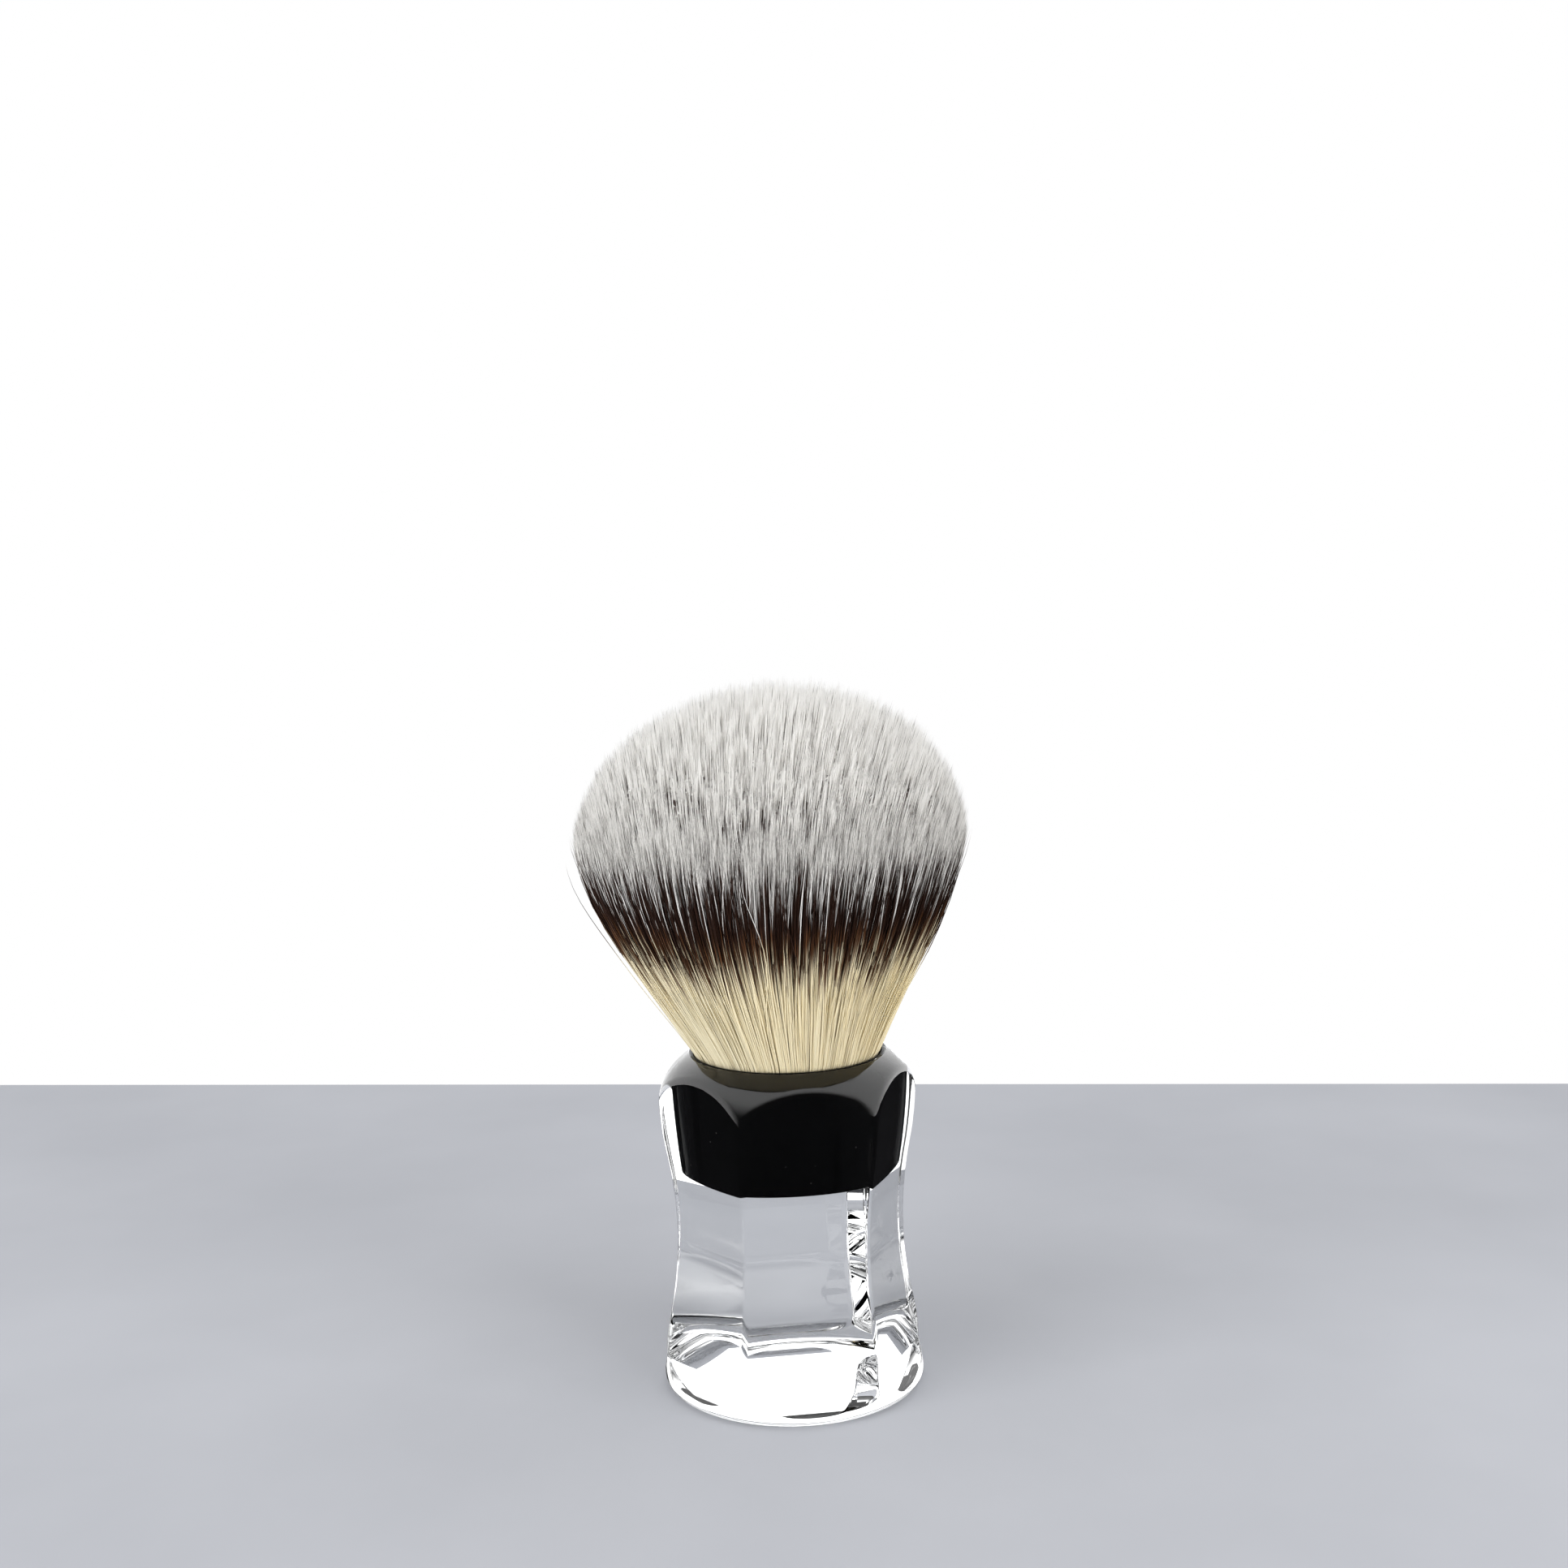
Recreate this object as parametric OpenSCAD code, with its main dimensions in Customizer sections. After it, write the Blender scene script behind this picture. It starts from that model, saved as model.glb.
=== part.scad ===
// Shaving brush with a waisted six-sided handle.
// A dark socket core sits in a bore in the clear shell, and a resin-bonded knot of
// filaments is glued into the core. The brush stands on its flat underside.
// The origin is the centre of the underside. +Z points up through the bristles,
// and -Y points out of the front flat.

/* [Handle] */
// Diameter of the turned blank, seen at the shoulder and at the foot
blank_d = 39; // [38:0.5:41]
// Height of the centre of the shoulder's round
shoulder_z = 42.5; // [42.2:0.1:42.7]
// Radius of the shoulder's round
shoulder_r = 8.3; // [8.1:0.1:8.5]
// Radius of the round under the foot
foot_round_r = 1.5; // [0.5:0.25:2]

/* [Front and back flats] */
// Width across the front and back flats at the waist
front_waist_w = 28.9; // [28.5:0.1:29.5]
// How far these flats move out between the waist and the crown
front_crown_rise = 3; // [2.8:0.05:3.1]
// How far these flats move out between the waist and the foot
front_foot_rise = 2; // [1.95:0.05:2.1]

/* [Four side flats] */
// Width across the side flats at the waist
side_waist_w = 30; // [29.6:0.1:30.4]
// How far these flats move out between the waist and the crown
side_crown_rise = 2.3; // [2.15:0.05:2.35]
// How far these flats move out between the waist and the foot
side_foot_rise = 1.85; // [1.7:0.05:1.9]

/* [All flats] */
// Height of the waist's narrowest point
waist_z = 23.3; // [21:0.1:25]
// Radius of the hollow along the waist
waist_r = 66; // [60:1:72]
// Height at which a flat stands upright at the crown
crown_z = 49; // [48:0.5:50]
// Height at which a flat stands upright at the foot
foot_z = 4.65; // [4.2:0.05:5]
// Radius of the cove that ends each flat above the rim
cove_r = 3.2; // [3.1:0.05:3.4]

/* [Socket core] */
// Diameter of the core at the lip
core_d = 28.8; // [28.4:0.1:30]
// Diameter of the core at its underside, so that it tapers downwards
core_foot_d = 26.4; // [26:0.1:28]
// Height of the core's flat underside inside the clear shell
core_z = 32; // [30:0.5:33]
// Diameter of the socket that takes the knot
socket_d = 24.2; // [22:0.1:24.6]
// Height of the socket's floor
socket_z = 35; // [34:0.5:37]
// Diameter of the mouth that the bristles come out of
mouth_d = 28; // [27:0.1:28.2]
// Height over which the socket opens out to the mouth
flare_h = 3.6; // [2:0.1:4]
// Width of the shell's flat lip round the core
lip_w = 0.3; // [0.2:0.05:0.5]

/* [Knot] */
// Clearance between the knot and the socket, on the radius
knot_gap = 0.1; // [0.05:0.05:0.3]
// Thickness of the resin bed under the knot
resin_t = 1.5; // [1:0.25:2]
// Length of the resin-bonded butt of the knot
plug_l = 9; // [8:0.25:9.25]
// Thickness of the thread that binds the butt
thread_d = 0.6; // [0.4:0.1:0.8]
// Number of turns of the thread
thread_turns = 4; // [2:1:6]
// Height of the middle of the binding
binding_z = 42; // [40:0.5:43]

/* [Bristles] */
// Diameter of the bloom at its widest
bloom_d = 56.6; // [50:0.2:60]
// Height of the bloom's widest point
bloom_z = 82; // [78:0.5:84]
// Height of the crown of the bristles
bristle_top_z = 104.4; // [98:0.2:108]
// Fullness of the fan between the socket and the bloom
fan_fullness = 0.65; // [0:0.05:0.8]

/* [Hidden] */
$fn = 96;

blank_r = blank_d / 2;
shoulder_x = blank_r - shoulder_r;
core_r = core_d / 2;
core_foot_r = core_foot_d / 2;
lip_r = core_r + lip_w;
// Height at which the shoulder's round has come in to the lip
lip_z = shoulder_z + sqrt(pow(shoulder_r, 2) - pow(lip_r - shoulder_x, 2));
socket_r = socket_d / 2;
mouth_r = mouth_d / 2;
flare_z = lip_z - flare_h;
knot_r = socket_r - knot_gap;
neck_r = mouth_r - knot_gap;
plug_z = socket_z + resin_t;
tuft_z = plug_z + plug_l;
thread_r = thread_d / 2;
thread_pitch = 0.9 * thread_d;
binding_h = thread_pitch * (thread_turns - 1) + thread_d;
// Directions of the flats, anticlockwise from +X
FRONT_FLATS = [90, 270];
SIDE_FLATS = [30, 150, 210, 330];
// A length that clears the whole handle
far = 2 * blank_d;
// How far neighbouring arcs overlap, so that they cross cleanly
join = 0.01;

// Radius of the end arc that is upright "run" away from the waist and meets the
// waist's arc smoothly after the flat has moved out by "rise"
function end_arc_r(rise, run) = (rise * rise + run * run) / (2 * rise) - waist_r;
// How far from the waist, along Z, the two arcs meet
function meeting_run(rise, run) = run * waist_r / (waist_r + end_arc_r(rise, run));
// Radius of the fan of bristles at t, which runs from 0 at the mouth to 1 at the bloom
function fan_r(t) = neck_r + (bloom_d / 2 - neck_r) * (t + fan_fullness * t * t * (1 - t));

crown_run = crown_z - waist_z;
foot_run = waist_z - foot_z;

// Half outline of the turned blank: a round under the foot, an upright side and a
// round shoulder, cut off level at the lip
module blank_outline() {
    square([blank_r - foot_round_r, shoulder_z]);
    translate([0, foot_round_r]) square([blank_r, shoulder_z - foot_round_r]);
    translate([blank_r - foot_round_r, foot_round_r]) circle(foot_round_r);
    intersection() {
        translate([shoulder_x, shoulder_z]) circle(shoulder_r);
        square([far, lip_z]);
    }
    square([lip_r - join, lip_z]);
}

module turned_blank() {
    rotate_extrude() blank_outline();
}

// What one flat removes, in its own plane: X is outwards and Y is up. half_w is the
// distance from the axis to the flat at the waist.
module flat_outline(half_w, crown_rise, foot_rise) {
    crown_arc_r = end_arc_r(crown_rise, crown_run);
    foot_arc_r = end_arc_r(foot_rise, foot_run);
    intersection() {
        translate([half_w + waist_r, waist_z]) circle(waist_r, $fn = 360);
        translate([0, foot_z]) square([far, lip_z]);
    }
    difference() {
        translate([0, waist_z + meeting_run(crown_rise, crown_run)]) square([far, lip_z]);
        translate([half_w + crown_rise - crown_arc_r, crown_z])
            circle(crown_arc_r + join, $fn = 360);
    }
    difference() {
        translate([0, foot_z]) square([far, foot_run - meeting_run(foot_rise, foot_run)]);
        translate([half_w + foot_rise - foot_arc_r, foot_z])
            circle(foot_arc_r + join, $fn = 360);
    }
    translate([half_w + foot_rise + cove_r - join, foot_z]) circle(cove_r);
}

module flat_cutter(half_w, crown_rise, foot_rise) {
    rotate([90, 0, 0])
        linear_extrude(height = far, center = true)
            flat_outline(half_w, crown_rise, foot_rise);
}

module six_flats() {
    for (angle = FRONT_FLATS)
        rotate([0, 0, angle])
            flat_cutter(front_waist_w / 2, front_crown_rise, front_foot_rise);
    for (angle = SIDE_FLATS)
        rotate([0, 0, angle])
            flat_cutter(side_waist_w / 2, side_crown_rise, side_foot_rise);
}

// The core's tapered outside, carried up to any height above its underside
module core_cone(height) {
    taper = (core_r - core_foot_r) / (lip_z - core_z);
    translate([0, 0, core_z])
        cylinder(r1 = core_foot_r, r2 = core_foot_r + taper * height, h = height);
}

// Clear cast shell: the whole outside of the handle, bored for the core
module outer_shell() {
    color([0.90, 0.94, 0.96, 0.35])
    difference() {
        turned_blank();
        six_flats();
        core_cone(far);
    }
}

// Dark moulded core that holds the knot
module socket_core() {
    color([0.02, 0.02, 0.02])
    difference() {
        core_cone(lip_z - core_z);
        translate([0, 0, socket_z]) cylinder(r = socket_r, h = far);
        translate([0, 0, flare_z]) cylinder(r1 = socket_r, r2 = mouth_r, h = flare_h);
    }
}

// Bed of set resin between the socket's floor and the knot
module setting_resin() {
    color([0.62, 0.47, 0.25])
    translate([0, 0, socket_z]) cylinder(r = socket_r, h = resin_t);
}

// Butt ends of the filaments, bonded into one block, with a groove for the binding
module knot_plug() {
    color([0.78, 0.70, 0.52])
    difference() {
        translate([0, 0, plug_z]) cylinder(r = knot_r, h = plug_l);
        translate([0, 0, binding_z - binding_h / 2])
        difference() {
            cylinder(r = far, h = binding_h);
            translate([0, 0, -1]) cylinder(r = knot_r - thread_d, h = binding_h + 2);
        }
    }
}

// Thread that ties the bundle before it is bonded, drawn as closed turns side by side
module binding_thread() {
    color([0.85, 0.82, 0.74])
    for (turn = [0 : thread_turns - 1])
        translate([0, 0, binding_z - binding_h / 2 + thread_r + turn * thread_pitch])
            rotate_extrude()
                translate([knot_r - thread_r, 0]) circle(thread_r, $fn = 24);
}

// The free filaments as one solid: a neck in the socket, a fan and a domed bloom
module bristle_tuft() {
    fan_steps = 8;
    dome_step = 7.5;
    color([0.88, 0.84, 0.70])
    rotate_extrude()
        polygon(concat(
            [[0, tuft_z], [knot_r, tuft_z], [knot_r, flare_z]],
            [for (i = [0 : fan_steps - 1])
                [fan_r(i / fan_steps), lip_z + (bloom_z - lip_z) * i / fan_steps]],
            [for (a = [0 : dome_step : 90])
                [bloom_d / 2 * cos(a), bloom_z + (bristle_top_z - bloom_z) * sin(a)]]
        ));
}

outer_shell();
socket_core();
setting_resin();
knot_plug();
binding_thread();
bristle_tuft();
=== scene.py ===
"""Looks for the shaving brush: a clear cast shell over a black core, and a tuft of
separate filaments. Lengths are in millimetres until a mesh, a lamp or the camera is
made. The constants give angles in degrees."""

import math
from collections import namedtuple

import bpy
import numpy as np
from mathutils import Matrix, Vector


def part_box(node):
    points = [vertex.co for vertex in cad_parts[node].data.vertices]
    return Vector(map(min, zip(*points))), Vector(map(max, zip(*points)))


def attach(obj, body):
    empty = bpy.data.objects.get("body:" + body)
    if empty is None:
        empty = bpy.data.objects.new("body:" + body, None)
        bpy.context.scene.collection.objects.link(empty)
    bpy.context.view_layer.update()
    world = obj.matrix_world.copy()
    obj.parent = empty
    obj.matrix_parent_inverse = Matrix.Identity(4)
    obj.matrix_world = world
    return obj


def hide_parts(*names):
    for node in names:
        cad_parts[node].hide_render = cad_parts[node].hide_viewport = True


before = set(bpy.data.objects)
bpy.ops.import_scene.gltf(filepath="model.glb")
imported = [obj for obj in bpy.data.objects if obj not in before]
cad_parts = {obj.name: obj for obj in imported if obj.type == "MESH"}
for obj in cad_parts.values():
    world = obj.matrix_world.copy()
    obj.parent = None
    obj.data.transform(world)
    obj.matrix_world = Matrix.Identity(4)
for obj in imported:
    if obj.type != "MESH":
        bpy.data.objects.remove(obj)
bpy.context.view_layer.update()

MM = 0.001
BODY = "root"
SEED = 20261

# ---------------------------------------------------------------- driving sizes


def box_mm(node):
    """Lowest and highest corner of a CAD node, in millimetres."""
    low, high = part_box(node)
    return np.array(low) / MM, np.array(high) / MM


shell_high = box_mm("outer_shell")[1]
core_low, core_high = box_mm("socket_core")
plug_low = box_mm("knot_plug")[0]
tuft_low, tuft_high = box_mm("bristle_tuft")

# The handle, as the CAD draws it
BLANK_R = shell_high[0]
LIP_Z = shell_high[2]
LIP_R = 14.7
SHOULDER_Z = 42.5
SHOULDER_R = 8.3
SHOULDER_X = BLANK_R - SHOULDER_R
FOOT_ROUND_R = 1.5
WAIST_Z = 23.3
WAIST_R = 66.0
CROWN_Z = 49.0
FOOT_Z = 4.65
COVE_R = 3.2
# A flat's distance from the axis at the waist, and how far it moves out by its two ends
Flat = namedtuple("Flat", "half_w crown_rise foot_rise")
FRONT_FLAT = Flat(half_w=28.9 / 2, crown_rise=3.0, foot_rise=2.0)
SIDE_FLAT = Flat(half_w=15.0, crown_rise=2.3, foot_rise=1.85)
# Each flat after the direction it faces, anticlockwise from +X
FLATS = [(angle, FRONT_FLAT) for angle in (90, 270)]
FLATS += [(angle, SIDE_FLAT) for angle in (30, 150, 210, 330)]

# The tapered core inside it, and the socket in the core
CORE_Z = core_low[2]
CORE_R = core_high[0]
CORE_FOOT_R = 13.2
CORE_TAPER = (CORE_R - CORE_FOOT_R) / (LIP_Z - CORE_Z)
SOCKET_R = 12.1
RESIN_T = 1.5
SOCKET_Z = plug_low[2] - RESIN_T
MOUTH_R = 14.0
FLARE_H = 3.6
FLARE_Z = LIP_Z - FLARE_H

# How far the polish has rounded the edges
SHELL_EDGE = 0.55
CORE_EDGE = 0.4
CORE_BEVEL = 0.05
SOCKET_BEVEL = 0.1
# How far the core reaches into the shell, so that no air shows between the two
CONTACT = 0.02

# The handle's mesh: its columns, and how strongly they crowd towards the six edges
COLUMNS = 600
CROWDING = 0.7
# Angle above which an edge of the core stays sharp
SHARP_EDGE = 50

# The tuft's form
ROOT_Z = LIP_Z - 2.2
ROOT_R = 12.7
BLOOM_R = (tuft_high[0] - tuft_low[0]) / 2
BLOOM_Z = 82.0
BRISTLE_TOP_Z = tuft_high[2]
DOME_H = BRISTLE_TOP_Z - BLOOM_Z
TIP_R = BLOOM_R + 0.35
FAN_FULLNESS = 0.65
# How far the tuft drifts to the camera's left, at the middle of its height
LEAN = 1.9
# The bristles' UV map: the height that V = 1 stands for, above the roots, with room for
# tips that stand off the dome, and the share of U that goes once round a strand
UV_ROOM = 3
UV_HEIGHT = BRISTLE_TOP_Z + UV_ROOM - ROOT_Z
STRAND_U = 1 / 96

# Strands gather into wisps. A strand's or a wisp's place in the knot is a share: 0 on
# the axis and 1 at the outside. A layer has wisps outside first_share only. Its strands
# come into view at shows_from, from 0 at the root to 1 at the tip, or at the root. They
# wander by wave and taper after tip_from, a part of the length in view. Each layer is
# cut into sectors, one piece each.
Layer = namedtuple(
    "Layer", "name strands wisps first_share shows_from rings wave radii tip_from sectors"
)
LAYERS = (
    Layer("side_bristles", strands=13000, wisps=3600, first_share=0.87, shows_from=None,
          rings=12, wave=0.19, radii=(0.07, 0.095), tip_from=0.55, sectors=5),
    Layer("crown_bristles", strands=42000, wisps=9000, first_share=0.0, shows_from=(0.72, 0.8),
          rings=5, wave=0.17, radii=(0.07, 0.09), tip_from=0.4, sectors=6),
    Layer("stray_bristles", strands=240, wisps=240, first_share=0.98, shows_from=None,
          rings=16, wave=0.5, radii=(0.05, 0.075), tip_from=0.7, sectors=1),
)
# How much sooner than shows_from the outermost strands come out of the mass beneath
OUTER_DROP = 0.2
WISP_LAST_SHARE = 0.995
SHARE_LIMITS = (0.02, 1.0)
# How far the tips stand above the dome, with a spread and a fall below it
WISP_RISE = 1.0
WISP_RISE_SPREAD = 0.25
WISP_FALL = 0.9
STRAND_RISE_SPREAD = 0.3
# How tightly a wisp holds its strands at their tips, and where along them it starts
WISP_GRIP = (0.35, 0.9)
GRIP_FROM = 0.4
# How far a wisp's strands lie apart, as a share, and the share inside which the turn
# that this takes round the axis stops growing
STRAND_SPREAD = 0.011
SPREAD_INNER_SHARE = 0.15
# Tints run from 0 to 1 and shift the dye's edges
WISP_TINT_SPREAD = 0.15
STRAND_TINT_SPREAD = 0.19
# The wander of a strand: turns along it, and its size outwards and in a whole wisp,
# beside its size sideways
WANDER_TURNS = (0.5, 1.6)
OUTWARD_WANDER = 0.55
WISP_WANDER = 1.6
WISP_STEPS = 24
# The form of one strand
SIDES = 3
TAPER_POWER = 0.7
# A direction that no strand runs along
ACROSS_STRANDS = (0.31, 0.95, 0.05)

# The mass of strands too deep to be seen: how far it lies below the tips
ROOT_DEPTH = 0.3
SIDE_DEPTH = 1.8
CROWN_DEPTH = 5.8
MASS_TOP_Z = BLOOM_Z + DOME_H - CROWN_DEPTH
MASS_COLUMNS = 420
MASS_SIDE_RINGS = 26
MASS_CROWN_RINGS = 56
MASS_LEAST_R = 0.05
# How rough it is, ring by ring, and the height over which its ridges start
SIDE_ROUGHNESS = 0.05
CROWN_ROUGHNESS = 0.3
RIDGE_SPREAD = 0.13
RIDGE_RUN = 12
# Where its tips start to turn white, and how its tints widen and rise as they do. Its tints stay
# low, so that it shows brown and dark deep in the tuft: partly the real brown of the inner
# strands' dye, partly painted shade in the gaps between the strands.
MASS_WHITE_Z = BLOOM_Z - 2
MASS_WHITE_RUN = 14
MASS_SHADE_TINT = 0.12
MASS_WHITE_TINT = 0.28
MASS_TINT_RISE = 0.03
MASS_TOP_TINT = 0.35

# Screen colours, from 0 to 255. Each pair is mixed by a fine streak or noise.
CREAM = ((252, 243, 214), (240, 226, 186))
BROWN = ((112, 74, 44), (70, 44, 28))
DARK_BROWN = ((58, 36, 26), (34, 22, 18))
WHITE = ((252, 251, 248), (240, 238, 234))
# The dye's edges, in heights above the lip for a strand of middling tint
BROWN_FROM = 13.6
DARK_AFTER = 5.0
DARK_RUN = 3.0
WHITE_FROM = 29.6
WHITE_HALF_RUN = 2.0
# How far those edges move with the tint, and below which tint a strand turns white late. Strands
# that turn white late show as dark streaks among the white tips: partly random dye, partly painted
# shade of the gaps between the strands.
BROWN_RAGGED = 10.0
WHITE_RAGGED = -18.0
LATE_TINT = 0.3
LATE_SHADE_RAGGED = 70.0

# The camera, which stands round the brush from -Y
CAMERA_AZIMUTH = -8.75
CAMERA_DISTANCE = 270.155
CAMERA_HEIGHT = 116.424
CAMERA_TILT = 5.64
CAMERA_ROLL = 1.291
CAMERA_YAW = -0.08
CAMERA_LENS = 42.43
CAMERA_LEFT = np.array([-math.cos(math.radians(CAMERA_AZIMUTH)),
                        -math.sin(math.radians(CAMERA_AZIMUTH)), 0])

# The table top under the brush
FLOOR_GAP = 0.08
FLOOR_BEHIND = 168
FLOOR_SIDE = 300
FLOOR_TURN = -4.85
FLOOR_PALE = ((170, 172, 178), (178, 180, 186))

# The room's light: bright behind and above the brush, dim on the camera's side. Clear
# and mirror-like surfaces see it stronger than matt ones do.
MATT_BRIGHT = 0.6
MATT_DIM = 0.34
SHINY_BRIGHT = 2.0
SHINY_DIM = 0.03
BACKDROP_FADE = (-0.75, -0.1)
CEILING_FADE = (0.2, 0.75)
# Two soft lamps on the camera's side
FILL_WATTS = 4.2
FILL_TURN = 50
FILL_ELEVATION = 10
FILL_AWAY = 700
FILL_W = 500
FILL_AIM_Z = 60

# ---------------------------------------------------------------- shape of the handle


def end_arc_radius(rise, run):
    """Radius of a flat's end arc, as the CAD has it."""
    return (rise * rise + run * run) / (2 * rise) - WAIST_R


def meeting_run(rise, run):
    """How far from the waist the waist's arc and an end arc meet."""
    return run * WAIST_R / (WAIST_R + end_arc_radius(rise, run))


def arc_x(z, centre_z, radius):
    """How far an arc of this radius has moved from its furthest point at height z."""
    return radius - np.sqrt(np.maximum(radius**2 - (z - centre_z) ** 2, 0))


def flat_distance(x, z, flat):
    """Distance of a point outside one flat's hollowed face; below zero is inside."""
    crown_run, foot_run = CROWN_Z - WAIST_Z, WAIST_Z - FOOT_Z
    crown_arc = end_arc_radius(flat.crown_rise, crown_run)
    foot_arc = end_arc_radius(flat.foot_rise, foot_run)
    face = flat.half_w + arc_x(z, WAIST_Z, WAIST_R)
    slope = (z - WAIST_Z) / WAIST_R
    in_crown = z > WAIST_Z + meeting_run(flat.crown_rise, crown_run)
    crown_face = flat.half_w + flat.crown_rise - arc_x(z, CROWN_Z, crown_arc)
    face = np.where(in_crown, crown_face, face)
    slope = np.where(in_crown, (CROWN_Z - z) / crown_arc, slope)
    in_foot = z < WAIST_Z - meeting_run(flat.foot_rise, foot_run)
    foot_face = flat.half_w + flat.foot_rise - arc_x(z, FOOT_Z, foot_arc)
    face = np.where(in_foot, foot_face, face)
    slope = np.where(in_foot, (FOOT_Z - z) / foot_arc, slope)
    cove_x = flat.half_w + flat.foot_rise + COVE_R
    in_cove = COVE_R - np.hypot(x - cove_x, z - FOOT_Z)
    return np.where(z < FOOT_Z, in_cove, (x - face) / np.sqrt(1 + slope**2))


def blank_distance(r, z):
    """Distance outside the turned blank: foot round, upright side and round shoulder."""
    out, up = r - SHOULDER_X, z - SHOULDER_Z
    side = r - BLANK_R
    shoulder = np.hypot(np.maximum(out, 0), up) - SHOULDER_R
    upper = np.where(up > 0, np.maximum(shoulder, z - LIP_Z), side)
    down, across = z - FOOT_ROUND_R, r - BLANK_R + FOOT_ROUND_R
    foot = np.hypot(across, down) - FOOT_ROUND_R
    lower = np.where((across > 0) & (down < 0), foot, np.maximum(side, -z))
    return np.maximum(upper, lower)


def smooth_max(a, b, edge):
    """The larger of two distances, with the edge between them rounded off."""
    h = np.maximum(edge - np.abs(a - b), 0) / edge
    return np.maximum(a, b) + h * h * edge / 4


def shell_outside(x, y, z):
    """Distance outside the blank with its six flats cut."""
    body = blank_distance(np.hypot(x, y), z)
    for angle, flat in FLATS:
        c, s = math.cos(math.radians(angle)), math.sin(math.radians(angle))
        body = smooth_max(body, flat_distance(x * c + y * s, z, flat), SHELL_EDGE)
    return body


def core_outside(x, y, z):
    """Distance outside the core's tapered side and flat underside."""
    side = (np.hypot(x, y) - CORE_FOOT_R - CORE_TAPER * (z - CORE_Z)) / math.hypot(1, CORE_TAPER)
    return smooth_max(side, CORE_Z - z, CORE_EDGE)


# ---------------------------------------------------------------- rays onto the handle
# A row is one ray in the half plane of a column: its radius and height, then its
# direction outwards and upwards. Every column uses the same rows.


def column_angles():
    """Directions of the mesh columns in radians, closer together at the six edges."""
    even = np.arange(COLUMNS) / COLUMNS * 2 * math.pi
    return even - CROWDING * np.sin(len(FLATS) * even) / len(FLATS)


def drop_rows(origin_z, radii):
    """Rays that point straight down from one height."""
    return [(r, origin_z, 0.0, -1.0) for r in radii]


def fan_rows(origin, first_deg, last_deg, count):
    """Rays that turn about one point."""
    angles = np.radians(np.linspace(first_deg, last_deg, count))
    return [(origin[0], origin[1], math.cos(a), math.sin(a)) for a in angles]


def level_rows(origin_r, first_z, last_z, count):
    """Level rays, one above the other."""
    return [(origin_r, z, 1.0, 0.0) for z in np.linspace(first_z, last_z, count)]


def turning_rows(origin_r, first, last, count):
    """Rays whose height and slope run from one (z, slope) to another."""
    rows = []
    for t in np.linspace(0, 1, count):
        z = first[0] + (last[0] - first[0]) * t
        slope = first[1] + (last[1] - first[1]) * t
        size = math.hypot(1, slope)
        rows.append((origin_r, z, 1 / size, slope / size))
    return rows


def shell_rows():
    """Rays that cover the shell: underside, foot round, rim, coves, waist, crown and
    shoulder, closest together where it bends most."""
    foot_centre = (BLANK_R - FOOT_ROUND_R, FOOT_ROUND_R)
    shoulder_centre = (SHOULDER_X, SHOULDER_Z)
    lip_deg = math.degrees(math.atan2(LIP_Z - SHOULDER_Z, LIP_R - SHOULDER_X))
    rows = drop_rows(origin_z=1.0, radii=(0.5, 6, 12, 16, 17.6))
    rows += fan_rows(foot_centre, first_deg=-84, last_deg=-2, count=12)
    rows += turning_rows(origin_r=15.5, first=(1.2, 0.09), last=(1.4, 0.75), count=26)
    rows += turning_rows(origin_r=15.5, first=(1.5, 0.8), last=(6.5, 0.0), count=16)
    rows += level_rows(origin_r=5, first_z=7.3, last_z=37, count=34)
    rows += level_rows(origin_r=5, first_z=37.2, last_z=SHOULDER_Z, count=26)
    rows += fan_rows(shoulder_centre, first_deg=1.2, last_deg=lip_deg, count=58)
    return rows


def core_rows():
    """Rays that cover the core: underside, lower edge and side up to the lip."""
    edge_centre = (11.0, CORE_Z + 1.5)
    rows = drop_rows(origin_z=CORE_Z + 2, radii=(0.5, 4, 8, 10.5))
    rows += fan_rows(edge_centre, first_deg=-85, last_deg=-2, count=26)
    rows += level_rows(origin_r=5, first_z=CORE_Z + 1.6, last_z=LIP_Z, count=14)
    return rows


def cast(rows, angles, outside, level=0.0, reach=20.0, halvings=40):
    """Points where each row's ray, turned to each column, meets the surface on which
    outside has this level."""
    rows = np.array(rows)
    c, s = np.cos(angles)[None, :], np.sin(angles)[None, :]
    low = np.zeros((len(rows), len(angles)))
    high = np.full_like(low, reach)

    def point(t):
        r = rows[:, 0:1] + rows[:, 2:3] * t
        return r * c, r * s, rows[:, 1:2] + rows[:, 3:4] * t

    for _ in range(halvings):
        middle = (low + high) / 2
        inside = outside(*point(middle)) < level
        low, high = np.where(inside, middle, low), np.where(inside, high, middle)
    return np.stack(point(low), axis=-1)


# ---------------------------------------------------------------- meshes


def make_mesh(name, points, faces):
    """A mesh object from points in millimetres and a list of vertex-index arrays."""
    mesh = bpy.data.meshes.new(name)
    points = np.asarray(points, np.float32) * MM
    mesh.vertices.add(len(points))
    mesh.vertices.foreach_set("co", points.ravel())
    sizes = np.concatenate([np.full(len(f), f.shape[1]) for f in faces])
    corners = np.concatenate([f.ravel() for f in faces])
    mesh.loops.add(len(corners))
    mesh.loops.foreach_set("vertex_index", corners.astype(np.int32))
    mesh.polygons.add(len(sizes))
    starts = np.concatenate([[0], np.cumsum(sizes)[:-1]])
    mesh.polygons.foreach_set("loop_start", starts.astype(np.int32))
    mesh.polygons.foreach_set("loop_total", sizes.astype(np.int32))
    mesh.update(calc_edges=True)
    mesh.validate()
    mesh.polygons.foreach_set("use_smooth", np.ones(len(mesh.polygons), bool))
    piece = bpy.data.objects.new(name, mesh)
    bpy.context.scene.collection.objects.link(piece)
    return piece


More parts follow.
